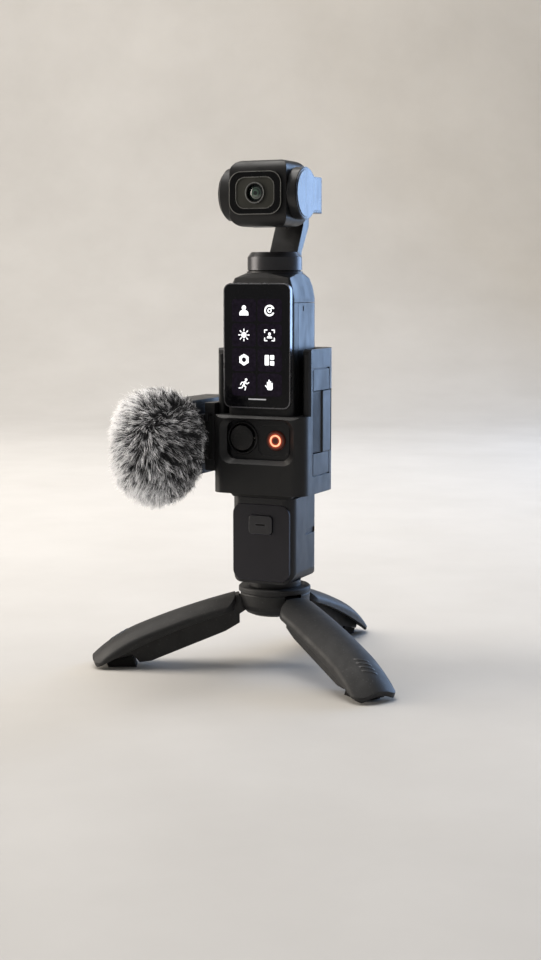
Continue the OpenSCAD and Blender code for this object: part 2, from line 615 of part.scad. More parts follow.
// ---- microphone ----------------------------------------------------------
module mic_body() color([0.1, 0.1, 0.11]) difference() {
  union() {
    difference() {
      ext_x(-40.7, -27.7) translate([0, 94.5]) rr(46, 30.5, 5);
      ext_x(-39.5, -29) translate([0, 94.5]) rr(43, 27.6, 3.6);
      ext_x(-42, -40.2) translate([-8, 94.5]) difference() { rr(9, 9, 4.4); rr(8.4, 8.4, 4.1); }
    }
    for (z = [[84.2, 89.8], [99.2, 104.8]]) {
      box([-28.2, 18.1, z[0]], [-25.8, 21.1, z[1]]);
      cyl_z(-25.8, 19.6, 1.5, z[0], z[1]);
    }
    box([-39.6, -19, 92], [-28.9, -16.5, 97]);
  }
  cyl_z(-25.8, 19.6, 0.86, 84, 105);
}
module mic_clip() color([0.16, 0.16, 0.17]) union() {
  box([-22.65, -14.6, 95 - 9.2], [-20.95, 5.2, 95 + 9.2]);
  box([-24.5, -14.6, 95 - 6.2], [-22.6, 5.2, 95 + 6.2]);
  difference() {
    box([-26.4, -16, 85], [-24.35, 19.0, 104]);
    box([-27, 16.6, 84], [-24, 20, 90]);
    box([-27, 16.6, 99], [-24, 20, 105]);
  }
  box([-27.2, -16, 88], [-26.3, -14, 101]);
  cyl_z(-25.8, 19.6, 1.4, 90, 99);
  cyl_z(-25.8, 19.6, 0.8, 84.6, 104.4);
}
module muff_collar() color([0.1, 0.1, 0.1]) union() {
  plate_y(-34.2, 94.5, 11.5, 20, 3, -25.2, -23.05);
  cyl_y(-34.2, 94.5, 4.5, -30, -25);
}
module fur_muff() color([0.6, 0.6, 0.6]) difference() {
  intersection() {
    hull() for (y = [-41.4, -36.5], z = [-1, 1]) translate([-33.6, y, 92.5 + z * (fur_rz - 15.5)]) sphere(r = 15.5, $fn = 36);
    box([-60, -70, 60], [-10, -23.1, 120]);
  }
  plate_y(-34.2, 94.5, 11.6, 20.1, 3.05, -25.25, -20);
  cyl_y(-34.2, 94.5, 4.55, -30.1, -25);
}

front_shell();
rear_shell();
shoulder_cap();
bottom_cap();
main_board();
battery_cell();
heat_sink();
pan_stator();
joystick_housing();
joystick_yoke();
joystick_knob();
record_button();
record_light_ring();
screen_frame();
screen_glass();
screen_pivot();
pan_housing();
pan_rotor();
gimbal_arm();
roll_stator();
roll_bearing();
roll_rotor();
tilt_bracket();
bracket_cover();
tilt_stator();
tilt_bearing();
camera_shell();
camera_back();
camera_end_cap();
lens_bezel();
lens_plate();
lens_barrel();
lens_glass();
image_sensor();
tilt_rotor();
cage_frame();
cold_shoe();
shoe_screws();
cage_door();
door_pins();
latch_lever();
base_shell();
base_panel();
base_button();
button_spring();
release_lever();
thread_insert();
tripod_stud();
tripod_hub();
leg_pins();
leg(legs[0]);  // leg_left
leg(legs[1]);  // leg_right
leg(legs[2]);  // leg_rear
foot(legs[0]);  // foot_left
foot(legs[1]);  // foot_right
foot(legs[2]);  // foot_rear
mic_body();
mic_clip();
muff_collar();
fur_muff();
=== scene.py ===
import math

import bmesh
import bpy
import numpy as np
from mathutils import Matrix, Vector


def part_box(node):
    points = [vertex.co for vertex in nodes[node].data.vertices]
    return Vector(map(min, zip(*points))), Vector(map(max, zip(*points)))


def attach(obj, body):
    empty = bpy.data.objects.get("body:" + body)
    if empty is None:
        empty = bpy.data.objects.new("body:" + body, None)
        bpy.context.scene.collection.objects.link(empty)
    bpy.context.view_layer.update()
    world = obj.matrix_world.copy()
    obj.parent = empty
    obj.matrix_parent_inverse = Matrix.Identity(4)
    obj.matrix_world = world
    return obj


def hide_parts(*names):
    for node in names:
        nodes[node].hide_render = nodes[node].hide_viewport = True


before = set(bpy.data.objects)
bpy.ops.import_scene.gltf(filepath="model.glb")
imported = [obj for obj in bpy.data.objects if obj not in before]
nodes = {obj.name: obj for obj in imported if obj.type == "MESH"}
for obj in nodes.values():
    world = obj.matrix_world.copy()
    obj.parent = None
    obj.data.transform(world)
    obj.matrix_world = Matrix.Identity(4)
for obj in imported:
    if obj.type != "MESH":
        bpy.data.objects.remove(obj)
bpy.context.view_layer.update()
MM = 0.001


# ---------------------------------------------------------------- materials
class Nodes:
    """A small builder for node trees, so each finish reads as one recipe."""

    def __init__(self, name):
        m = bpy.data.materials.get(name) or bpy.data.materials.new(name)
        m.use_nodes = True
        self.m = m
        self.t = m.node_tree
        self.t.nodes.clear()
        self.out = self.t.nodes.new("ShaderNodeOutputMaterial")
        self.bsdf = self.t.nodes.new("ShaderNodeBsdfPrincipled")
        self.t.links.new(self.bsdf.outputs[0], self.out.inputs[0])
        self.co = self.t.nodes.new("ShaderNodeTexCoord").outputs["Object"]

    def new(self, kind, **props):
        n = self.t.nodes.new(kind)
        for k, v in props.items():
            setattr(n, k, v)
        return n

    def put(self, socket, value):
        if isinstance(value, bpy.types.NodeSocket):
            self.t.links.new(value, socket)
        elif isinstance(value, (tuple, list)) and len(value) == 3 and socket.type == "RGBA":
            socket.default_value = (*value, 1)
        else:
            socket.default_value = value

    def math(self, op, a, b=0.0, c=None, clamp=False):
        n = self.new("ShaderNodeMath", operation=op, use_clamp=clamp)
        self.put(n.inputs[0], a)
        self.put(n.inputs[1], b)
        if c is not None:
            self.put(n.inputs[2], c)
        return n.outputs[0]

    def vmul(self, v):
        n = self.new("ShaderNodeVectorMath", operation="MULTIPLY")
        self.put(n.inputs[0], self.co)
        n.inputs[1].default_value = v
        return n.outputs[0]

    def noise(self, scale, detail=2.0, rough=0.5, vector=None, distortion=0.0):
        n = self.new("ShaderNodeTexNoise")
        self.put(n.inputs["Vector"], vector or self.co)
        n.inputs["Scale"].default_value = scale
        n.inputs["Detail"].default_value = detail
        n.inputs["Roughness"].default_value = rough
        n.inputs["Distortion"].default_value = distortion
        return n.outputs["Fac"] if "Fac" in n.outputs else n.outputs[0]

    def voronoi(self, scale, feature="F1", vector=None):
        n = self.new("ShaderNodeTexVoronoi", feature=feature)
        self.put(n.inputs["Vector"], vector or self.co)
        n.inputs["Scale"].default_value = scale
        return n.outputs["Distance"]

    def span(self, v, a, b, lo=0.0, hi=1.0):
        n = self.new("ShaderNodeMapRange")
        self.put(n.inputs[0], v)
        for i, x in enumerate((a, b, lo, hi)):
            n.inputs[i + 1].default_value = x
        return n.outputs[0]

    def mix(self, f, a, b):
        n = self.new("ShaderNodeMix", data_type="RGBA")
        self.put(n.inputs["Factor"], f)
        self.put(n.inputs[6], a)
        self.put(n.inputs[7], b)
        return n.outputs[2]

    def ramp(self, f, stops):
        n = self.new("ShaderNodeValToRGB")
        self.put(n.inputs[0], f)
        e = n.color_ramp.elements
        while len(e) > 1:
            e.remove(e[-1])
        e[0].position = stops[0][0]
        e[0].color = (*stops[0][1], 1)
        for p, c in stops[1:]:
            x = e.new(p)
            x.color = (*c, 1)
        return n.outputs[0]

    def bevel(self, mm=0.25, samples=4):
        n = self.new("ShaderNodeBevel", samples=samples)
        n.inputs["Radius"].default_value = mm * MM
        return n.outputs[0]

    def edge(self, bevel):
        """1 on an edge, 0 on a face; the mask for lighter edges, partly wear and partly painted highlight."""
        g = self.new("ShaderNodeNewGeometry").outputs["Normal"]
        d = self.new("ShaderNodeVectorMath", operation="DOT_PRODUCT")
        self.put(d.inputs[0], bevel)
        self.put(d.inputs[1], g)
        return self.span(d.outputs["Value"], 0.995, 0.86)

    def bump(self, height, strength, mm=0.02, normal=None):
        n = self.new("ShaderNodeBump")
        n.inputs["Strength"].default_value = strength
        n.inputs["Distance"].default_value = mm * MM
        self.put(n.inputs["Height"], height)
        if normal is not None:
            self.put(n.inputs["Normal"], normal)
        return n.outputs[0]

    def set(self, **kw):
        names = {
            "color": "Base Color", "rough": "Roughness", "metal": "Metallic", "normal": "Normal",
            "coat": "Coat Weight", "coat_rough": "Coat Roughness", "spec": "Specular IOR Level",
            "emit": "Emission Color", "power": "Emission Strength", "ior": "IOR",
            "sheen": "Sheen Weight", "trans": "Transmission Weight", "aniso": "Anisotropic",
        }
        for k, v in kw.items():
            self.put(self.bsdf.inputs[names[k]], v)
        return self.m


def coated(name, base, rough, grain=1500, depth=0.02, strength=0.35, metal=0.0, spec=0.5, edge_wear_and_highlight_gain=1.8,
           bevel_mm=0.25, vary=0.12, coat=0.0, speck=0.0):
    """Moulded or painted skin: fine grain, cloudy gloss where hands have been, and lighter edges, partly wear and
    partly a painted highlight.
    """
    n = Nodes(name)
    bev = n.bevel(bevel_mm)
    edge = n.edge(bev)
    cloud = n.noise(55, 4, 0.6)
    smear = n.noise(260, 3, 0.55, n.vmul((1, 1, 0.35)))
    fine = n.noise(grain, 2, 0.6)
    tone = n.span(cloud, 0.3, 0.7, 1 - vary, 1 + vary)
    col = n.new("ShaderNodeVectorMath", operation="SCALE")
    col.inputs[0].default_value = base
    n.put(col.inputs["Scale"], tone)
    col = col.outputs[0]
    # edge colour: lighter than the face, partly wear and partly a painted highlight
    edge_wear_and_highlight = tuple(min(1.0, c * edge_wear_and_highlight_gain + 0.006) for c in base)
    col = n.mix(n.math("MULTIPLY", edge, n.span(smear, 0.35, 0.65, 0.35, 0.9)), col, edge_wear_and_highlight)
    if speck:
        dots = n.span(n.noise(grain * 1.3, 1, 0.4), 0.66, 0.74)
        col = n.mix(n.math("MULTIPLY", dots, speck), col, tuple(min(1, c * 3.2 + 0.03) for c in base))
    r = n.math("ADD", n.span(smear, 0.3, 0.7, rough - 0.06, rough + 0.06), n.span(cloud, 0.3, 0.7, -0.05, 0.05))
    r = n.math("SUBTRACT", r, n.math("MULTIPLY", edge, 0.08), clamp=True)
    return n.set(color=col, rough=r, metal=metal, spec=spec, coat=coat, coat_rough=0.25,
                 normal=n.bump(fine, strength, depth, bev))


def turned(name, base, rough, axis="z", centre=(0, 0, 0), metal=1.0, rings=9000, bevel_mm=0.2):
    """Metal or paint turned about an axis: fine rings round it."""
    n = Nodes(name)
    sub = n.new("ShaderNodeVectorMath", operation="SUBTRACT")
    n.put(sub.inputs[0], n.co)
    sub.inputs[1].default_value = centre
    sep = n.new("ShaderNodeSeparateXYZ")
    n.put(sep.inputs[0], sub.outputs[0])
    x, y, z = sep.outputs
    p, q, h = {"z": (x, y, z), "y": (x, z, y), "x": (y, z, x)}[axis]
    rad = n.math("SQRT", n.math("ADD", n.math("MULTIPLY", p, p), n.math("MULTIPLY", q, q)))
    line = n.math("ADD", n.math("MULTIPLY", rad, 1.0), n.math("MULTIPLY", h, 1.3))
    tex = n.new("ShaderNodeTexNoise", noise_dimensions="1D")
    n.put(tex.inputs["W"], line)
    tex.inputs["Scale"].default_value = rings
    tex.inputs["Detail"].default_value = 2
    rings_f = tex.outputs[0]
    bev = n.bevel(bevel_mm)
    edge = n.edge(bev)
    cloud = n.noise(80, 3)
    col = n.mix(n.span(rings_f, 0.35, 0.65), tuple(c * 0.86 for c in base), tuple(c * 1.1 for c in base))
    # edges lightened: partly wear and partly a painted highlight
    col = n.mix(n.math("MULTIPLY", edge, 0.6), col, tuple(min(1, c * 2.0 + 0.02) for c in base))
    r = n.math("ADD", n.span(rings_f, 0.3, 0.7, rough - 0.05, rough + 0.06), n.span(cloud, 0.3, 0.7, -0.04, 0.04))
    return n.set(color=col, rough=r, metal=metal, normal=n.bump(rings_f, 0.25, 0.01, bev))


def give(names, mat):
    for name in names:
        o = nodes[name]
        o.data.materials.clear()
        o.data.materials.append(mat)


give(["front_shell", "rear_shell", "shoulder_cap"],
     coated("grip_skin", (0.0105, 0.0107, 0.012), 0.42, 2200, 0.015, 0.3, spec=0.42))
give(["bottom_cap", "screen_pivot"], coated("seal_skin", (0.007, 0.007, 0.0075), 0.55, 1800, spec=0.35))
give(["joystick_housing"], coated("housing_skin", (0.0075, 0.0075, 0.008), 0.38, 2000, spec=0.42, edge_wear_and_highlight_gain=3))
give(["cage_frame", "cold_shoe", "cage_door", "latch_lever"],
     coated("cage_skin", (0.0095, 0.0096, 0.0105), 0.46, 1600, 0.02, 0.4, spec=0.42, edge_wear_and_highlight_gain=2.8))
give(["base_shell"], coated("base_skin", (0.0095, 0.0098, 0.0125), 0.46, 1700, 0.02, 0.4, spec=0.42, edge_wear_and_highlight_gain=2.8))
# high edge gain: a painted highlight, a thin light line along the panel's edges
give(["base_panel"], coated("panel_skin", (0.0125, 0.0118, 0.0175), 0.44, 2600, 0.01, 0.3, spec=0.36, edge_wear_and_highlight_gain=9.0, bevel_mm=0.35))
# high edge gain: a painted highlight along the button's edges
give(["base_button"], coated("button_skin", (0.026, 0.026, 0.030), 0.4, 2400, 0.01, 0.3, spec=0.42, edge_wear_and_highlight_gain=6.0, bevel_mm=0.4))
give(["release_lever"], coated("lever_skin", (0.05, 0.05, 0.055), 0.4, 1500))
give(["tripod_hub", "leg_left", "leg_right", "leg_rear"],
     coated("leg_skin", (0.0165, 0.0165, 0.0172), 0.56, 1100, 0.03, 0.55, spec=0.42, edge_wear_and_highlight_gain=2.4, bevel_mm=0.45, speck=0.3, vary=0.18))
give(["foot_left", "foot_right", "foot_rear"], coated("foot_skin", (0.007, 0.007, 0.007), 0.8, 700, 0.05, 0.7, spec=0.3))
give(["mic_body", "mic_clip", "muff_collar"], coated("mic_skin", (0.010, 0.010, 0.0105), 0.42, 1800, spec=0.42, edge_wear_and_highlight_gain=3))
# high edge gain: a painted highlight on the head's rounded edges, partly wear
give(["camera_shell", "camera_back", "camera_end_cap"],
     coated("head_skin", (0.009, 0.0091, 0.010), 0.42, 2600, 0.008, 0.25, metal=0.0, spec=0.3, edge_wear_and_highlight_gain=4.0, bevel_mm=0.35))
give(["gimbal_arm", "tilt_bracket", "roll_rotor"],
     coated("arm_skin", (0.015, 0.0152, 0.0165), 0.34, 2800, 0.006, 0.25, metal=0.2, spec=0.45, edge_wear_and_highlight_gain=4.0, bevel_mm=0.3))
give(["bracket_cover"], coated("cover_skin", (0.045, 0.049, 0.058), 0.27, 2800, 0.004, 0.15, metal=0.3, spec=0.6, edge_wear_and_highlight_gain=2.2))
give(["pan_housing"], turned("pan_skin", (0.075, 0.075, 0.08), 0.36, "z", metal=0.85))
give(["lens_plate"], coated("plate_skin", (0.028, 0.0285, 0.023), 0.42, 3000, 0.004, 0.25, spec=0.35, bevel_mm=0.1, edge_wear_and_highlight_gain=1.7))
give(["joystick_knob"], coated("knob_skin", (0.008, 0.008, 0.0085), 0.52, 2400, 0.03, 0.5, spec=0.4, edge_wear_and_highlight_gain=3.5))
give(["screen_frame"], coated("rim_skin", (0.22, 0.22, 0.235), 0.3, 3000, 0.003, 0.2, metal=0.9, bevel_mm=0.12, edge_wear_and_highlight_gain=1.5))


def record_skin():
    """Dark translucent red with a painted glow: emission strongest near the light ring, faint all over."""
    n = Nodes("record_skin")
    lo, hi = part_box("record_button")
    sub = n.new("ShaderNodeVectorMath", operation="SUBTRACT")
    n.put(sub.inputs[0], n.co)
    sub.inputs[1].default_value = ((lo[0] + hi[0]) / 2, 0, (lo[2] + hi[2]) / 2)
    sep = n.new("ShaderNodeSeparateXYZ")
    n.put(sep.inputs[0], sub.outputs[0])
    r = n.math("SQRT", n.math("ADD", n.math("MULTIPLY", sep.outputs[0], sep.outputs[0]),
                              n.math("MULTIPLY", sep.outputs[2], sep.outputs[2])))
    # painted glow: light from the ring painted into the button as emission at the ring's radius, plus a faint glow all
    # over
    near = n.span(n.math("ABSOLUTE", n.math("SUBTRACT", r, 0.00208)), 0.0012, 0.0002)
    col = n.mix(n.span(n.noise(900, 2), 0.3, 0.7), (0.045, 0.007, 0.004), (0.03, 0.005, 0.003))
    return n.set(color=col, rough=n.span(n.noise(1500, 2), 0.3, 0.7, 0.28, 0.42), emit=(0.75, 0.10, 0.03),
                 power=n.math("ADD", n.math("MULTIPLY", near, 0.55), 0.03), coat=0.3, normal=n.bump(n.noise(2600, 1), 0.2, 0.005, n.bevel(0.15)))


give(["record_button"], record_skin())
STEEL = turned("steel_skin", (0.55, 0.55, 0.57), 0.28, "z")
# near-black stud: painted shade for the dark gap between the base and the tripod hub
give(["tripod_stud"], turned("stud_shade_skin", (0.02, 0.02, 0.021), 0.45, "z", metal=0.4))
give(["shoe_screws", "door_pins", "button_spring", "leg_pins", "joystick_yoke",
      "roll_bearing", "tilt_bearing"], STEEL)
give(["heat_sink"], coated("milled_skin", (0.55, 0.55, 0.57), 0.35, 2500, 0.01, 0.3, metal=1.0))
give(["thread_insert"], turned("brass_skin", (0.72, 0.53, 0.25), 0.3, "z"))


def winding(name, axis):
    n = Nodes(name)
    sep = n.new("ShaderNodeSeparateXYZ")
    n.put(sep.inputs[0], n.co)
    v = n.math("SINE", n.math("MULTIPLY", sep.outputs[axis], 15000.0))
    col = n.mix(n.span(v, -1, 1), (0.2, 0.06, 0.02), (0.62, 0.27, 0.1))
    col = n.mix(n.span(n.noise(300, 3), 0.3, 0.7, 0, 0.3), col, (0.35, 0.16, 0.07))
    return n.set(color=col, metal=0.8, rough=n.span(n.noise(900, 2), 0.3, 0.7, 0.25, 0.45), normal=n.bump(v, 0.5, 0.03))


give(["pan_stator"], winding("copper_z", 2))
give(["roll_stator", "pan_rotor", "tilt_rotor", "tilt_stator"], winding("copper_y", 1))


def board(name):
    n = Nodes(name)
    t = n.new("ShaderNodeTexBrick")
    n.put(t.inputs["Vector"], n.vmul((1, 1, 1)))
    t.inputs["Scale"].default_value = 320
    t.inputs["Color1"].default_value = (0.01, 0.05, 0.022, 1)
    t.inputs["Color2"].default_value = (0.018, 0.085, 0.035, 1)
    t.inputs["Mortar"].default_value = (0.25, 0.2, 0.07, 1)
    t.inputs["Mortar Size"].default_value = 0.012
    c = n.mix(n.span(n.noise(900, 1), 0.62, 0.66), t.outputs["Color"], (0.5, 0.5, 0.48))
    return n.set(color=c, rough=n.span(n.noise(400, 2), 0.3, 0.7, 0.25, 0.5), normal=n.bump(t.outputs["Fac"], 0.4, 0.03))


give(["main_board", "image_sensor"], board("board_skin"))


def foil(name):
    n = Nodes(name)
    crease = n.voronoi(180, "DISTANCE_TO_EDGE")
    h = n.math("ADD", n.span(crease, 0, 0.12), n.noise(500, 4))
    col = n.mix(n.noise(120, 3), (0.48, 0.48, 0.5), (0.68, 0.68, 0.7))
    return n.set(color=col, metal=1.0, rough=n.span(n.noise(700, 2), 0.3, 0.7, 0.22, 0.42), normal=n.bump(h, 0.5, 0.08))


give(["battery_cell"], foil("foil_skin"))


def gloss(name, base, rough, bevel_mm=0.15, coat=1.0, spec=0.5):
    n = Nodes(name)
    bev = n.bevel(bevel_mm)
    edge = n.edge(bev)
    smear = n.noise(70, 4, 0.65, n.vmul((1, 1, 0.5)), 0.6)
    dust = n.span(n.noise(2600, 1, 0.3), 0.72, 0.8)
    # painted highlight: the edges of the glossy black are lightened sharply
    col = n.mix(n.math("MULTIPLY", edge, 0.7), base, tuple(min(1, c * 6 + 0.06) for c in base))
    col = n.mix(n.math("MULTIPLY", dust, 0.08), col, (0.3, 0.3, 0.3))
    return n.set(color=col, rough=n.span(smear, 0.4, 0.75, rough, rough + 0.12), coat=coat, coat_rough=0.05, spec=spec,
                 normal=n.bump(n.noise(160, 2), 0.06, 0.01, bev))


give(["lens_bezel"], gloss("bezel_skin", (0.003, 0.003, 0.0033), 0.16, coat=0.15, spec=0.22))
give(["screen_glass"], gloss("display_skin", (0.0025, 0.0025, 0.0035), 0.10, 0.08, coat=0.35, spec=0.3))


def barrel(name):
    """Black ribbed barrel with a light grey front ring."""
    n = Nodes(name)
    lo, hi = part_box("lens_barrel")
    c = [(a + b) / 2 for a, b in zip(lo, hi)]
    sub = n.new("ShaderNodeVectorMath", operation="SUBTRACT")
    n.put(sub.inputs[0], n.co)
    sub.inputs[1].default_value = (c[0], 0, c[2])
    sep = n.new("ShaderNodeSeparateXYZ")
    n.put(sep.inputs[0], sub.outputs[0])
    r = n.math("SQRT", n.math("ADD", n.math("MULTIPLY", sep.outputs[0], sep.outputs[0]),
                              n.math("MULTIPLY", sep.outputs[2], sep.outputs[2])))
    rib = n.math("SINE", n.math("MULTIPLY", r, 26000.0))
    ring = n.math("MULTIPLY", n.span(r, 0.00368, 0.00374), n.span(r, 0.00412, 0.00406))
    col = n.mix(ring, (0.006, 0.006, 0.006), (0.22, 0.225, 0.22))
    col = n.mix(n.span(n.noise(900, 2), 0.4, 0.7, 0, 0.25), col, (0.08, 0.085, 0.08))
    return n.set(color=col, rough=n.span(n.noise(1500, 2), 0.3, 0.7, 0.22, 0.42), metal=0.4, normal=n.bump(rib, 0.3, 0.02))


give(["lens_barrel"], barrel("barrel_skin"))


def lens(name):
    """Coated front element: dark centre, with green and violet rings painted into the colour as reflections off the
    coatings.
    """
    n = Nodes(name)
    lo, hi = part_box("lens_glass")
    c = [(a + b) / 2 for a, b in zip(lo, hi)]
    sub = n.new("ShaderNodeVectorMath", operation="SUBTRACT")
    n.put(sub.inputs[0], n.co)
    sub.inputs[1].default_value = (c[0] + 0.0002, 0, c[2] - 0.0001)
    sep = n.new("ShaderNodeSeparateXYZ")
    n.put(sep.inputs[0], sub.outputs[0])
    r = n.math("SQRT", n.math("ADD", n.math("MULTIPLY", sep.outputs[0], sep.outputs[0]),
                              n.math("MULTIPLY", sep.outputs[2], sep.outputs[2])))
    f = n.math("MULTIPLY", r, 1 / 0.0034)
    wob = n.math("ADD", f, n.math("MULTIPLY", n.math("SUBTRACT", n.noise(500, 2), 0.5), 0.06))
    # painted reflections: concentric coloured rings, offset a little from the centre
    col = n.ramp(wob, [(0.0, (0.003, 0.006, 0.005)), (0.24, (0.004, 0.010, 0.008)), (0.30, (0.07, 0.14, 0.10)),
                       (0.40, (0.035, 0.075, 0.05)), (0.52, (0.010, 0.018, 0.016)), (0.62, (0.055, 0.10, 0.075)),
                       (0.72, (0.008, 0.012, 0.010)), (0.86, (0.03, 0.05, 0.045)), (0.95, (0.004, 0.004, 0.004))])
    return n.set(color=col, rough=n.span(n.noise(250, 3), 0.3, 0.7, 0.04, 0.1), coat=1.0, coat_rough=0.02, spec=0.8,
                 normal=n.bump(wob, 0.08, 0.02))


give(["lens_glass"], lens("lens_skin"))


def glow(name, base, emit, power, variation=0.25, spec=0.5, rough=0.25):
    n = Nodes(name)
    v = n.span(n.noise(700, 2), 0.3, 0.7, power * (1 - variation), power * (1 + variation))
    return n.set(color=n.mix(n.noise(900, 1), base, tuple(c * 0.8 for c in base)), emit=emit, power=v, spec=spec,
                 rough=n.span(n.noise(1200, 1), 0.3, 0.7, rough, rough + 0.15), normal=n.bump(n.noise(2500, 1), 0.2, 0.01))


give(["record_light_ring"], glow("ring_glow", (1.0, 0.42, 0.25), (1.0, 0.36, 0.2), 1.6))


# ------------------------------------------------------------ mesh builders
def solid(name, verts, faces, mat, body, smooth=True, attrs=None):
    """A mesh piece in frame metres from numpy arrays, riding on a body."""
    me = bpy.data.meshes.new(name)
    verts = np.asarray(verts, np.float32)
    if isinstance(faces, np.ndarray) and faces.shape[1] == 3:
        me.vertices.add(len(verts))
        me.vertices.foreach_set("co", verts.ravel())
        me.loops.add(faces.size)
        me.loops.foreach_set("vertex_index", faces.astype(np.int32).ravel())
        me.polygons.add(len(faces))
        me.polygons.foreach_set("loop_start", np.arange(0, faces.size, 3, dtype=np.int32))
        me.update(calc_edges=True)
    else:
        me.from_pydata(verts.tolist(), [], [list(map(int, f)) for f in faces])
        me.update()
    me.validate()
    me.polygons.foreach_set("use_smooth", np.full(len(me.polygons), smooth))
    for k, v in (attrs or {}).items():
        a = me.attributes.new(k, "FLOAT", "POINT")
        a.data.foreach_set("value", np.asarray(v, np.float32))
    me.materials.append(mat)
    o = bpy.data.objects.new(name, me)
    bpy.context.scene.collection.objects.link(o)
    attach(o, body)
    return o


class Plates:
    """Thin plates facing -Y, gathered into one mesh. Outlines are (x, z) in millimetres."""

    def __init__(self, y_front, thick):
        self.v, self.f, self.y, self.t = [], [], y_front, thick

    def poly(self, pts, dy=0.0):
        k, n = len(self.v), len(pts)
        for y in (self.y + dy, self.y + dy + self.t):
            for x, z in pts:
                self.v.append((x * MM, y * MM, z * MM))
        area = sum(pts[i][0] * pts[(i + 1) % n][1] - pts[(i + 1) % n][0] * pts[i][1] for i in range(n))
        order = list(range(n)) if area > 0 else list(range(n))[::-1]
        self.f.append([k + i for i in order])
        self.f.append([k + n + i for i in order[::-1]])
        for i in range(n):
            a, b = order[i], order[(i + 1) % n]
            self.f.append([k + b, k + a, k + n + a, k + n + b])

    def rrect(self, cx, cz, w, h, r, dy=0.0, n=6):
        pts = []
        for sx, sz, a0 in ((1, -1, -90), (1, 1, 0), (-1, 1, 90), (-1, -1, 180)):
            for i in range(n + 1):
                a = math.radians(a0 + 90 * i / n)
                pts.append((cx + sx * (w / 2 - r) + r * math.cos(a), cz + sz * (h / 2 - r) + r * math.sin(a)))
        self.poly(pts, dy)

    def disc(self, cx, cz, r, n=24, dy=0.0):
        self.poly([(cx + r * math.cos(2 * math.pi * i / n), cz + r * math.sin(2 * math.pi * i / n)) for i in range(n)], dy)

    def stroke(self, a, b, w, dy=0.0):
        """A bar with round ends from a to b."""
        d = math.atan2(b[1] - a[1], b[0] - a[0])
        pts = []
        for c, s in ((b, -90), (a, 90)):
            for i in range(9):
                t = d + math.radians(s + 180 * i / 8)
                pts.append((c[0] + w / 2 * math.cos(t), c[1] + w / 2 * math.sin(t)))
        self.poly(pts, dy)

    def arc(self, cx, cz, r0, r1, a0, a1, n=28, dy=0.0):
        """A ring segment as a fan of quads, joined into one closed plate."""
        k, full = len(self.v), abs(a1 - a0) >= 360
        m = n if full else n + 1
        for y in (self.y + dy, self.y + dy + self.t):
            for i in range(m):
                a = math.radians(a0 + (a1 - a0) * i / n)
                for r in (r0, r1):
                    self.v.append(((cx + r * math.cos(a)) * MM, y * MM, (cz + r * math.sin(a)) * MM))
        for i in range(n):
            a, b = k + 2 * i, k + 2 * ((i + 1) % m)
            c, d = a + 2 * m, b + 2 * m
            self.f += [[a, a + 1, b + 1, b], [d, d + 1, c + 1, c], [a + 1, c + 1, d + 1, b + 1], [b, d, c, a]]
        if not full:
            for a, flip in ((k, 0), (k + 2 * n, 1)):
                q = [a, a + 2 * m, a + 2 * m + 1, a + 1]
                self.f.append(q[::-1] if flip else q)

    def hexnut(self, cx, cz, r, hole, dy=0.0):
        n, k = 24, len(self.v)
        for y in (self.y + dy, self.y + dy + self.t):
            for i in range(n):
                a = 2 * math.pi * i / n + math.pi / 6
                s = (a - math.pi / 6) % (math.pi / 3) - math.pi / 6
                rr = r * math.cos(math.pi / 6) / math.cos(s)
                for q in (hole, rr):
                    self.v.append(((cx + q * math.cos(a)) * MM, y * MM, (cz + q * math.sin(a)) * MM))
        for i in range(n):
            a, b = k + 2 * i, k + 2 * ((i + 1) % n)
            c, d = a + 2 * n, b + 2 * n
            self.f += [[a, a + 1, b + 1, b], [d, d + 1, c + 1, c], [a + 1, c + 1, d + 1, b + 1], [b, d, c, a]]

    def make(self, name, mat, body):
        return solid(name, self.v, self.f, mat, body, smooth=False)


# ------------------------------------------------------------- screen menu
glass_lo, glass_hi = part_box("screen_glass")
gy = glass_lo[1] / MM
gcx = (glass_lo[0] + glass_hi[0]) / 2 / MM
gcz = (glass_lo[2] + glass_hi[2]) / 2 / MM
COLS = (gcx - 5.5, gcx + 5.7)
ROWS = [gcz + d for d in (14.0, 4.3, -5.5, -15.3)]

tiles = Plates(gy - 0.03, 0.02)
for i, c in enumerate(COLS):
    for j, r in enumerate(ROWS):
        tiles.rrect(c + (-0.05 if i == 0 else 0.05), r, 10.6, 9.1, 1.5)
tiles.make("menu_tiles", glow("tile_glow", (0.003, 0.0028, 0.0036), (0.007, 0.004, 0.010), 0.8, 0.5, 0.22, 0.12), "screen")

ic = Plates(gy - 0.055, 0.02)
x, z = COLS[0], ROWS[0]  # a person
ic.disc(x, z + 1.05, 0.95)
ic.poly([(x - 2.0, z - 2.0)] + [(x + 2.0 * math.cos(math.radians(a)), z - 1.2 + 1.45 * math.sin(math.radians(a)))
                               for a in range(180, -1, -15)] + [(x + 2.0, z - 2.0)])
x, z = COLS[1], ROWS[0]  # a dial
ic.arc(x, z, 1.55, 2.25, 20, 335)
ic.arc(x, z, 0.45, 0.95, 0, 360, 20)
ic.stroke((x + 0.5, z + 0.6), (x + 1.2, z + 1.3), 0.4)
x, z = COLS[0], ROWS[1]  # a sun
ic.disc(x, z, 1.15)
for a in range(0, 360, 45):
    c, s = math.cos(math.radians(a)), math.sin(math.radians(a))
    ic.stroke((x + 1.65 * c, z + 1.65 * s), (x + 2.3 * c, z + 2.3 * s), 0.45)
x, z = COLS[1], ROWS[1]  # a focus frame
for sx in (-1, 1):
    for s in (-1, 1):
        ic.stroke((x + sx * 2.1, z + s * 2.1), (x + sx * 1.1, z + s * 2.1), 0.45)
        ic.stroke((x + sx * 2.1, z + s * 2.1), (x + sx * 2.1, z + s * 1.1), 0.45, dy=-0.003)
ic.disc(x, z + 0.55, 0.6)
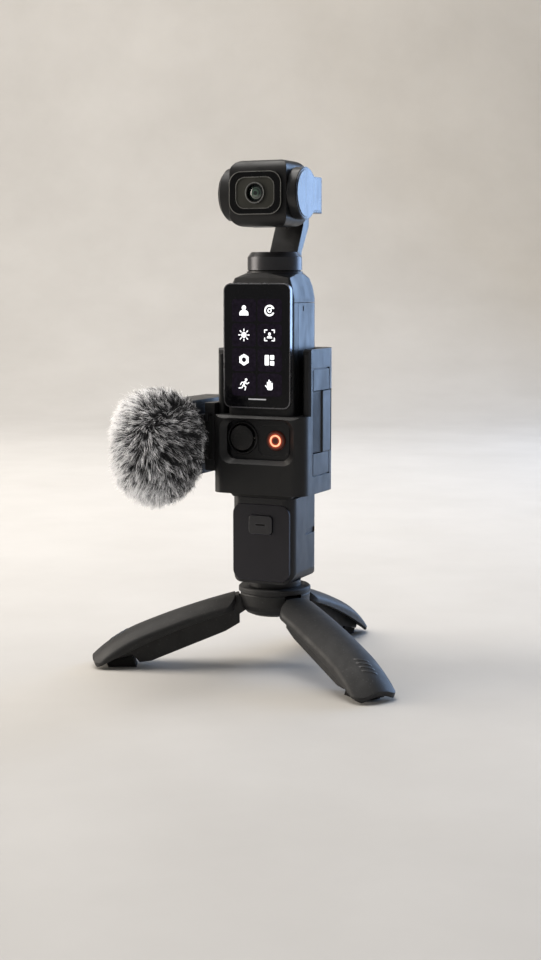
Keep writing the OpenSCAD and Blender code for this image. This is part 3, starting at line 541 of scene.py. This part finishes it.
ic.poly([(x - 1.1, z - 1.2)] + [(x + 1.1 * math.cos(math.radians(a)), z - 0.95 + 0.85 * math.sin(math.radians(a)))
                               for a in range(180, -1, -20)] + [(x + 1.1, z - 1.2)])
x, z = COLS[0], ROWS[2]  # a nut
ic.hexnut(x, z, 2.35, 0.95)
x, z = COLS[1], ROWS[2]  # blocks
ic.rrect(x - 1.15, z, 1.9, 4.1, 0.4)
ic.rrect(x + 1.15, z + 1.15, 1.8, 1.8, 0.4)
ic.rrect(x + 1.15, z - 1.15, 1.8, 1.8, 0.4)
x, z = COLS[0], ROWS[3]  # a runner
ic.disc(x + 0.95, z + 1.85, 0.55)
ic.stroke((x + 0.55, z + 1.05), (x - 0.25, z - 0.35), 0.75)
ic.stroke((x + 0.45, z + 0.95), (x - 1.0, z + 0.75), 0.42, dy=-0.003)
ic.stroke((x - 1.0, z + 0.75), (x - 1.55, z - 0.1), 0.42)
ic.stroke((x + 0.5, z + 0.9), (x + 1.3, z + 0.2), 0.42, dy=-0.003)
ic.stroke((x + 1.3, z + 0.2), (x + 2.1, z + 0.75), 0.42)
ic.stroke((x - 0.2, z - 0.3), (x + 0.75, z - 1.0), 0.5, dy=-0.003)
ic.stroke((x + 0.75, z - 1.0), (x + 0.45, z - 2.2), 0.45)
ic.stroke((x - 0.3, z - 0.35), (x - 0.95, z - 1.35), 0.5, dy=-0.006)
ic.stroke((x - 0.95, z - 1.35), (x - 2.2, z - 1.5), 0.45)
x, z = COLS[1], ROWS[3]  # a hand
ic.rrect(x + 0.15, z - 0.95, 2.5, 2.1, 0.7)
for i, h in enumerate((1.0, 1.9, 1.35, 0.7)):
    ic.stroke((x - 0.85 + 0.66 * i, z - 0.6), (x - 0.85 + 0.66 * i, z + h), 0.5, dy=-0.003)
ic.stroke((x - 0.7, z - 1.2), (x - 1.7, z - 0.3), 0.5, dy=-0.006)
ic.make("menu_icons", glow("icon_glow", (0.8, 0.8, 0.8), (0.93, 0.96, 1.0), 1.1, 0.06), "screen")

bar = Plates(gy - 0.04, 0.02)
bar.rrect(gcx + 0.3, gcz - 21.1, 7.8, 0.5, 0.24)
bar.make("menu_bar", glow("bar_glow", (0.3, 0.3, 0.3), (0.55, 0.55, 0.58), 0.55, 0.1), "screen")

# ------------------------------------------------------------ bright trims
def rim(name, node, w_in, w_out, r, y, mat, body, shift=0.0):
    """A thin closed rounded-rectangle ring just proud of a node's front face, following its outline."""
    lo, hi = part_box(node)
    cx, cz = (lo[0] + hi[0]) / 2 / MM, (lo[2] + hi[2]) / 2 / MM
    hw_, hh_ = (hi[0] - lo[0]) / 2 / MM + shift, (hi[2] - lo[2]) / 2 / MM + shift
    N = 16
    v, f = [], []
    for inset, yy in ((w_in, y), (w_out, y), (w_out, y + 0.25), (w_in, y + 0.25)):
        rr = r + shift - inset
        for sx, sz, a0 in ((1, -1, -90), (1, 1, 0), (-1, 1, 90), (-1, -1, 180)):
            for i in range(N + 1):
                a = math.radians(a0 + 90 * i / N)
                v.append(((cx + sx * (hw_ - inset - rr) + rr * math.cos(a)) * MM, yy * MM,
                          (cz + sz * (hh_ - inset - rr) + rr * math.sin(a)) * MM))
    k = 4 * (N + 1)
    for q in range(4):
        a0, b0 = q * k, ((q + 1) % 4) * k
        for i in range(k):
            j = (i + 1) % k
            f.append([a0 + i, a0 + j, b0 + j, b0 + i])
    return solid(name, v, f, mat, body, smooth=False)


trim = coated("trim_skin", (0.20, 0.20, 0.19), 0.32, 3000, 0.002, 0.2, metal=0.6, bevel_mm=0.05)
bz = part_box("lens_bezel")[0][1] / MM
rim("bezel_rim", "lens_bezel", 0.30, -0.02, 5.0, bz - 0.02, trim, "camera_head")
rim("lens_plate_rim", "lens_plate", 0.34, 0.08, 3.95, bz - 0.05, trim, "camera_head")
bb_lo, bb_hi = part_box("base_button")
dash = Plates(bb_lo[1] / MM - 0.012, 0.03)
dash.rrect((bb_lo[0] + bb_hi[0]) / 2 / MM, (bb_lo[2] + bb_hi[2]) / 2 / MM, 4.3, 0.7, 0.2)
dash.make("button_dash", coated("dash_skin", (0.003, 0.003, 0.003), 0.6, 2000, spec=0.2), "base_button")

# --------------------------------------------------------------- knob grip
klo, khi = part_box("joystick_knob")
kx, kz = (klo[0] + khi[0]) / 2, (klo[2] + khi[2]) / 2
dots_v, dots_f = [], []
kr = (khi[0] - klo[0]) / 2 / MM
knob_me = nodes["joystick_knob"].data
from mathutils.bvhtree import BVHTree

kt = BVHTree.FromPolygons([v.co.copy() for v in knob_me.vertices], [list(p.vertices) for p in knob_me.polygons])
pitch = 0.62
for i in range(-9, 10):
    for j in range(-10, 11):
        px, pz = (i + (j % 2) * 0.5) * pitch, j * pitch * 0.866
        if math.hypot(px, pz) > kr - 0.65:
            continue
        hit, nor, _, _ = kt.ray_cast(Vector((kx + px * MM, klo[1] - 0.01, kz + pz * MM)), Vector((0, 1, 0)))
        if hit is None:
            continue
        if nor.y > 0:
            nor = -nor
        up = nor
        side = up.cross(Vector((0, 0, 1))).normalized()
        oth = up.cross(side)
        k = len(dots_v)
        for ring, (rad, lift) in enumerate(((0.19, -0.03), (0.17, 0.05), (0.10, 0.095))):
            for a in range(8):
                t = 2 * math.pi * a / 8
                dots_v.append(hit + side * (rad * MM * math.cos(t)) + oth * (rad * MM * math.sin(t)) + up * (lift * MM))
        dots_v.append(hit + up * (0.11 * MM))
        dots_v.append(hit - up * (0.03 * MM))
        for ring in (0, 1):
            for a in range(8):
                b = (a + 1) % 8
                dots_f.append([k + ring * 8 + a, k + ring * 8 + b, k + ring * 8 + 8 + b, k + ring * 8 + 8 + a])
        for a in range(8):
            b = (a + 1) % 8
            dots_f.append([k + 16 + a, k + 16 + b, k + 24])
            dots_f.append([k + b, k + a, k + 25])
solid("knob_dots", dots_v, dots_f, coated("dot_skin", (0.014, 0.014, 0.015), 0.45, 2600, 0.005, 0.3, bevel_mm=0.05),
      "joystick_knob")

# ------------------------------------------- near-black ring filling the gap under the turning head: painted shade
plo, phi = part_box("pan_housing")
clo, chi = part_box("shoulder_cap")
v, f = [], []
NR = 96
z0, z1 = chi[2] - 0.00006, plo[2] - 0.00003
profile = [(0.0094, z0), (0.0104, z0), (0.01055, (z0 + z1) / 2), (0.0104, z1), (0.0094, z1), (0.00932, (z0 + z1) / 2)]
for i in range(NR):
    a = 2 * math.pi * i / NR
    wob = 1 + 0.002 * math.sin(7 * a) + 0.0015 * math.sin(17 * a + 1)
    for r, z in profile:
        v.append((r * wob * math.cos(a), r * wob * math.sin(a), z))
for i in range(NR):
    for k in range(6):
        a, b = i * 6 + k, i * 6 + (k + 1) % 6
        c, d = ((i + 1) % NR) * 6 + (k + 1) % 6, ((i + 1) % NR) * 6 + k
        f.append([a, d, c, b])
solid("pan_gap_shade_ring", v, f, coated("gap_shade_skin", (0.006, 0.006, 0.0062), 0.9, 1300, 0.05, 0.8, spec=0.15), "grip")

# ------------------------------------------------------------- leg stripes
LEGS = {"leg_left": 207, "leg_right": 327, "leg_rear": 87}
R0, Z0, SLOPE = 10.5, 27.4, math.radians(22.4)


def leg_place(az):
    return (Matrix.Rotation(math.radians(az), 4, "Z") @ Matrix.Translation((R0 * MM, 0, Z0 * MM))
            @ Matrix.Rotation(SLOPE, 4, "Y"))


def crown(u, w):
    """Height of the leg's outer face over its pivot line, in millimetres."""
    r = 300.0 if u < 46 else 60.0
    return 8 - r + math.sqrt((r - 13.5 + math.sqrt(13.5**2 - w * w)) ** 2 - (u - 46) ** 2)


stripe_mat = coated("stripe_skin", (0.024, 0.024, 0.025), 0.4, 2000, 0.01, 0.3, edge_wear_and_highlight_gain=1.8, bevel_mm=0.12)
for body, az in LEGS.items():
    m = leg_place(az)
    v, f = [], []
    for s in range(4):
        u0 = 53.0 + s * 2.1
        n = 10
        k = len(v)
        for i in range(n + 1):
            w = -2.9 + 5.8 * i / n
            end = 1 - abs(2 * i / n - 1) ** 6
            for du, lift in ((-0.5, -0.15), (-0.38, 0.17 * end), (0.38, 0.17 * end), (0.5, -0.15)):
                u = u0 + 0.45 * w + du
                v.append(m @ Vector((u * MM, w * MM, (crown(u, w) + lift) * MM)))
        for i in range(n):
            for a in range(4):
                b = (a + 1) % 4
                f.append([k + 4 * i + a, k + 4 * i + b, k + 4 * i + 4 + b, k + 4 * i + 4 + a])
        f.append([k + 3, k + 2, k + 1, k])
        f.append([k + 4 * n, k + 4 * n + 1, k + 4 * n + 2, k + 4 * n + 3])
    solid(body + "_stripes", v, f, stripe_mat, body, smooth=False)

# --------------------------------------------------------------------- fur
flo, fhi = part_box("fur_muff")
FC = np.array([(flo[0] + fhi[0]) / 2, 0, (flo[2] + fhi[2]) / 2]) / MM
FR = (fhi[0] - flo[0]) / 2 / MM
FY0 = flo[1] / MM + FR          # front sphere centre
FY1 = FY0 + 4.9
FZ = (fhi[2] - flo[2]) / 2 / MM - FR
BACK = fhi[1] / MM


def soft(t):
    return np.tanh(3.0 * t)


def skin(n, r):
    """A point on the muff's core for unit normals n, at radius r."""
    p = np.empty_like(n)
    p[:, 0] = FC[0] + r * n[:, 0]
    p[:, 1] = (FY0 + FY1) / 2 + (FY1 - FY0) / 2 * soft(n[:, 1]) + r * n[:, 1]
    p[:, 2] = FC[2] + FZ * soft(n[:, 2]) + r * n[:, 2]
    return p


def waves(p, rng, k, count=6):
    """Smooth pseudo-noise vectors from sums of sines."""
    out = np.zeros((len(p), 3))
    for _ in range(count):
        d = rng.normal(size=3)
        d *= k / np.linalg.norm(d) * rng.uniform(0.6, 1.5)
        a = rng.normal(size=3)
        out += np.sin(p @ d + rng.uniform(0, 6.28))[:, None] * a
    return out / math.sqrt(count)


rng = np.random.default_rng(71)
# undercoat: a lumpy closed shell, a little inside the CAD solid
NT, NP = 44, 72
end = math.acos(-0.80)
rings = []
for i in range(NT + 1):
    th = end * i / NT
    ny = -math.cos(th)
    ph = np.linspace(0, 2 * math.pi, NP, endpoint=False)
    n = np.stack([math.sin(th) * np.cos(ph), np.full(NP, ny), math.sin(th) * np.sin(ph)], 1)
    rings.append(n)
nn = np.concatenate(rings)
w = waves(skin(nn, FR), np.random.default_rng(5), 1.1, 8)[:, 0] * 0.35
pts = skin(nn, 0) + nn * (FR - 0.9 + w)[:, None]
pts[:, 1] = np.minimum(pts[:, 1], BACK - 0.1)
verts = [tuple(pts[0])] + [tuple(p) for p in pts[NP:]]
cap = pts[-NP:].copy()
cap[:, 1] = BACK - 0.1
faces = []
for a in range(NP):
    faces.append([0, 1 + a, 1 + (a + 1) % NP])
for i in range(NT - 1):
    for a in range(NP):
        b = (a + 1) % NP
        faces.append([1 + i * NP + a, 1 + (i + 1) * NP + a, 1 + (i + 1) * NP + b, 1 + i * NP + b])
k = len(verts)
verts.append((FC[0], BACK - 0.1, FC[2]))
for a in range(NP):
    faces.append([1 + (NT - 1) * NP + a, k, 1 + (NT - 1) * NP + (a + 1) % NP])


def under(name):
    n = Nodes(name)
    c = n.mix(n.span(n.noise(900, 3, 0.7), 0.35, 0.7), (0.015, 0.015, 0.016), (0.16, 0.155, 0.16))
    return n.set(color=c, rough=0.95, sheen=0.4, spec=0.15, normal=n.bump(n.noise(1400, 3, 0.7), 0.9, 0.25))


base = solid("fur_undercoat", np.array(verts) * MM, faces, under("undercoat_skin"), "windscreen")
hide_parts("fur_muff")


def fur_mat(name):
    n = Nodes(name)
    t = n.new("ShaderNodeAttribute", attribute_name="fur_t").outputs["Fac"]
    v = n.new("ShaderNodeAttribute", attribute_name="fur_tone_and_shade").outputs["Fac"]
    shift = n.math("ADD", t, n.math("MULTIPLY", n.math("SUBTRACT", v, 0.5), 1.05))
    # ramp along the strand: darker towards the root, a painted shade of the pile's depth
    c = n.ramp(shift, [(0.0, (0.006, 0.006, 0.0065)), (0.42, (0.014, 0.014, 0.015)), (0.58, (0.07, 0.07, 0.073)),
                       (0.74, (0.40, 0.395, 0.40)), (0.9, (0.90, 0.89, 0.89))])
    c = n.mix(n.span(n.noise(1200, 2), 0.3, 0.7, 0, 0.08), c, (0.10, 0.10, 0.105))
    # painted light: the fur glows with its own colour (emission) in place of light scattered through the pile
    return n.set(color=c, rough=n.span(n.noise(2400, 1), 0.3, 0.7, 0.5, 0.7), spec=0.2, emit=c, power=0.24)


FUR = fur_mat("fur_skin")
mlo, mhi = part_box("mic_body")
slo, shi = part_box("cold_shoe")


RIGHT = np.array([math.cos(0.4375), math.sin(0.4375), 0.0])
TOWARD = np.array([math.sin(0.4375), -math.cos(0.4375), 0.13])
CROWN = 0.38 * RIGHT + 0.86 * TOWARD + np.array([0, 0, 0.17])
CROWN /= np.linalg.norm(CROWN)


def lay(n, root):
    """The pile's heading: it stands up at the crown and is brushed away from it all round."""
    away = n * (n @ CROWN)[:, None] - CROWN
    f = waves(root, np.random.default_rng(17), 0.20, 7) * 0.34 + waves(root, np.random.default_rng(23), 0.55, 6) * 0.24
    f -= n * np.sum(f * n, 1)[:, None]
    h = n * 0.80 + away * (0.72 + 0.35 * np.clip(-(n @ RIGHT), 0, 1))[:, None] + f
    h[:, 2] -= 0.14
    tail = np.clip((n[:, 1] - 0.35) / 0.5, 0, 1)
    h[:, 1] = h[:, 1] * (1 - 0.75 * tail) - 0.25 * tail
    return h / np.linalg.norm(h, axis=1)[:, None]


def run(n, root, head, length, t):
    d = n * (1 - t) * 0.75 + head * (0.25 + 0.75 * t)
    d /= np.linalg.norm(d, axis=1)[:, None]
    p = root + d * (length * t)[:, None]
    p[:, 2] -= 0.5 * t * t
    return p


def strands(name, count, seed, lmin, lmax, thick, spread, locks=1500, hold=0.78):
    rng = np.random.default_rng(seed)
    n = rng.normal(size=(int(count * 1.35), 3))
    n /= np.linalg.norm(n, axis=1)[:, None]
    n = n[n[:, 1] < 0.86][:count]
    count = len(n)
    root = skin(n, FR - 1.1)
    # locks: each strand leans to its lock's own line
    cn = rng.normal(size=(locks, 3))
    cn /= np.linalg.norm(cn, axis=1)[:, None]
    near = np.argmax(n @ cn.T, axis=1)
    croot = skin(cn, FR - 1.1)
    chead = lay(cn, croot) + rng.normal(size=(locks, 3)) * 0.17
    chead /= np.linalg.norm(chead, axis=1)[:, None]
    across = cn @ RIGHT
    narrow = 1 - np.where(across < 0, 0.38, 0.12) * across ** 2 + 0.17 * cn[:, 2]
    clen = rng.uniform(lmin, lmax, locks) * narrow
    lock_val = np.where(rng.random(locks) < 0.5, -1, 1) * rng.uniform(0.08, 0.30, locks)
    head = lay(n, root) + rng.normal(size=(count, 3)) * spread * 0.5
    head /= np.linalg.norm(head, axis=1)[:, None]
    length = clen[near] * rng.uniform(0.86, 1.08, count)
    loose = rng.normal(size=(count, 3)) * 0.17
    bend = rng.normal(size=(count, 3)) * 0.22
    K = 6
    ts = np.linspace(0, 1, K)
    line = np.empty((count, K, 3))
    for i, t in enumerate(ts):
        p = run(n, root, head, length, t)
        q = run(cn, croot, chead, clen, t)[near] + loose
        pull = hold * t ** 1.2
        line[:, i] = p * (1 - pull) + q * pull + bend * (t * t)
    # stay off the microphone, its clip and the cage
    for i in range(K):
        p = line[:, i]
        lo = np.array([mlo[0], mlo[1], mlo[2]]) / MM - 0.8
        hi = np.array([shi[0] / MM + 6, 99, mhi[2] / MM + 0.8])
        inside = (p[:, 0] > lo[0]) & (p[:, 0] < hi[0]) & (p[:, 2] > lo[2]) & (p[:, 2] < hi[2])
        p[:, 1] = np.where(inside, np.minimum(p[:, 1], BACK - 0.25), np.minimum(p[:, 1], BACK + 4.5))
        cage = p[:, 0] > -19.5
        p[:, 1] = np.where(cage, np.minimum(p[:, 1], -18.6), p[:, 1])
    # triangular section, tapering to a point
    tang = np.gradient(line, axis=1)
    tang /= np.linalg.norm(tang, axis=2)[..., None] + 1e-9
    ref = rng.normal(size=(count, 1, 3))
    a = np.cross(tang, ref)
    a /= np.linalg.norm(a, axis=2)[..., None] + 1e-9
    b = np.cross(tang, a)
    rad = thick * rng.uniform(0.75, 1.25, count)[:, None] * (1 - 0.72 * ts[None, :] ** 1.3)
    V = np.empty((count, 3 * (K - 1) + 1, 3))
    T = np.empty((count, 3 * (K - 1) + 1))
    for i in range(K - 1):
        for s in range(3):
            g = 2 * math.pi * s / 3
            V[:, 3 * i + s] = line[:, i] + (a[:, i] * math.cos(g) + b[:, i] * math.sin(g)) * rad[:, i, None]
            T[:, 3 * i + s] = ts[i]
    V[:, -1] = line[:, -1]
    T[:, -1] = 1.0
    per = V.shape[1]
    one = [[2, 1, 0]]
    for i in range(K - 2):
        for s in range(3):
            p, q = 3 * i + s, 3 * i + (s + 1) % 3
            one += [[p, q, q + 3], [p, q + 3, p + 3]]
    for s in range(3):
        one.append([3 * (K - 2) + s, 3 * (K - 2) + (s + 1) % 3, per - 1])
    one = np.array(one)
    F = (one[None] + (np.arange(count) * per)[:, None, None]).reshape(-1, 3)
    # salt and pepper: patches, locks and single hairs; painted shade, darker towards the right; lighter towards the rim
    # away from the crown
    tip = line[:, -1]
    patch = waves(croot, np.random.default_rng(31), 0.42, 8)[near, 0] * 0.10
    # painted shade: strands darker towards the right and lighter towards the left, where the light falls
    side = (tip - tip.mean(0)) @ RIGHT / 17.0
    ring = 1 - np.clip(n @ CROWN, 0, 1)
    tone_and_shade = 0.47 + patch + lock_val[near] + rng.normal(size=count) * 0.07 - 0.24 * side + 0.20 * ring
    tone_and_shade = np.clip(tone_and_shade, 0, 1)
    return solid(name, V.reshape(-1, 3) * MM, F, FUR, "windscreen", attrs={"fur_t": T.ravel(), "fur_tone_and_shade": np.repeat(tone_and_shade, per)})


strands("fur_strands_short", 6200, 101, 3.2, 4.8, 0.10, 0.35)
strands("fur_strands_mid", 6200, 202, 4.4, 6.0, 0.09, 0.30)
strands("fur_strands_fine", 6200, 505, 4.8, 6.6, 0.075, 0.34, 2000)
strands("fur_strands_long", 6200, 303, 5.6, 7.4, 0.08, 0.28)
strands("fur_strands_wisps", 600, 404, 7.0, 9.0, 0.05, 0.9, 200, 0.3)

# -------------------------------------------------------------------- stage
def floor_mat():
    n = Nodes("floor_skin")
    c = n.mix(n.span(n.noise(9, 5, 0.6), 0.3, 0.7), (0.55, 0.53, 0.50), (0.60, 0.58, 0.55))
    return n.set(color=c, rough=n.span(n.noise(20, 3), 0.3, 0.7, 0.5, 0.62), spec=0.3, normal=n.bump(n.noise(350, 3), 0.08, 0.1))


def sweep():
    """A floor that curves up into a backdrop, square to the camera."""
    bm = bmesh.new()
    prof = [(-1.6, 0.0), (1.1, 0.0)]
    for i in range(1, 13):
        a = math.radians(90 * i / 12)
        prof.append((1.1 + 0.7 * math.sin(a), 0.7 * (1 - math.cos(a))))
    prof.append((1.8, 3.0))
    grid = []
    for d, h in prof:
        row = []
        for s in (-3.2, 3.2):
            c, si = math.cos(math.radians(25.07)), math.sin(math.radians(25.07))
            row.append(bm.verts.new((s * c - d * si, s * si + d * c, h)))
        grid.append(row)
    for i in range(len(grid) - 1):
        bm.faces.new((grid[i][0], grid[i][1], grid[i + 1][1], grid[i + 1][0]))
    me = bpy.data.meshes.new("studio_floor")
    bm.to_mesh(me)
    bm.free()
    for p in me.polygons:
        p.use_smooth = True
    o = bpy.data.objects.new("studio_floor", me)
    bpy.context.scene.collection.objects.link(o)
    me.materials.append(floor_mat())
    return o


floor = sweep()


def area(name, loc, target, w, h, power, color):
    li = bpy.data.lights.new(name, "AREA")
    li.shape = "RECTANGLE"
    li.size, li.size_y, li.energy, li.color = w, h, power, color
    o = bpy.data.objects.new(name, li)
    bpy.context.scene.collection.objects.link(o)
    o.location = loc
    o.rotation_mode = "QUATERNION"
    o.rotation_quaternion = (Vector(target) - Vector(loc)).to_track_quat("-Z", "Y")
    return o


RIGHT = Vector((math.cos(math.radians(25.07)), math.sin(math.radians(25.07)), 0))
AWAY = Vector((-math.sin(math.radians(25.07)), math.cos(math.radians(25.07)), 0))


def at(r, d, h):
    return tuple(RIGHT * r + AWAY * d + Vector((0, 0, h)))


area("window_right", at(0.95, 0.78, 0.30), (0, 0, 0.12), 0.75, 1.0, 15.0, (0.42, 0.63, 1.0))
area("soft_left", at(-0.88, 0.10, 0.36), (0, 0, 0.12), 0.5, 1.1, 11.0, (1.0, 0.92, 0.82))
area("top", at(-0.15, 0.1, 1.1), (0, 0, 0.1), 0.9, 0.7, 9.5, (1.0, 0.97, 0.93))
area("wall_wash", at(-0.5, 0.5, 1.0), at(0, 1.6, 0.55), 1.0, 0.5, 15.0, (1.0, 0.94, 0.86))

world = bpy.data.worlds.new("studio")
bpy.context.scene.world = world
world.use_nodes = True
bg = world.node_tree.nodes.get("Background")
bg.inputs[0].default_value = (0.86, 0.85, 0.84, 1)
bg.inputs[1].default_value = 0.22

cam_data = bpy.data.cameras.new("camera")
cam_data.lens, cam_data.sensor_width, cam_data.sensor_fit = 59.38, 36.0, "AUTO"
cam_data.clip_start, cam_data.clip_end = 0.01, 20
cam = bpy.data.objects.new("camera", cam_data)
bpy.context.scene.collection.objects.link(cam)
cam.location = (0.27115, -0.58374, 0.15683)
cam.rotation_euler = (math.radians(82.91), math.radians(0.0), math.radians(25.07))
bpy.context.scene.camera = cam
bpy.context.scene.view_settings.view_transform = "Standard"

bpy.context.view_layer.update()
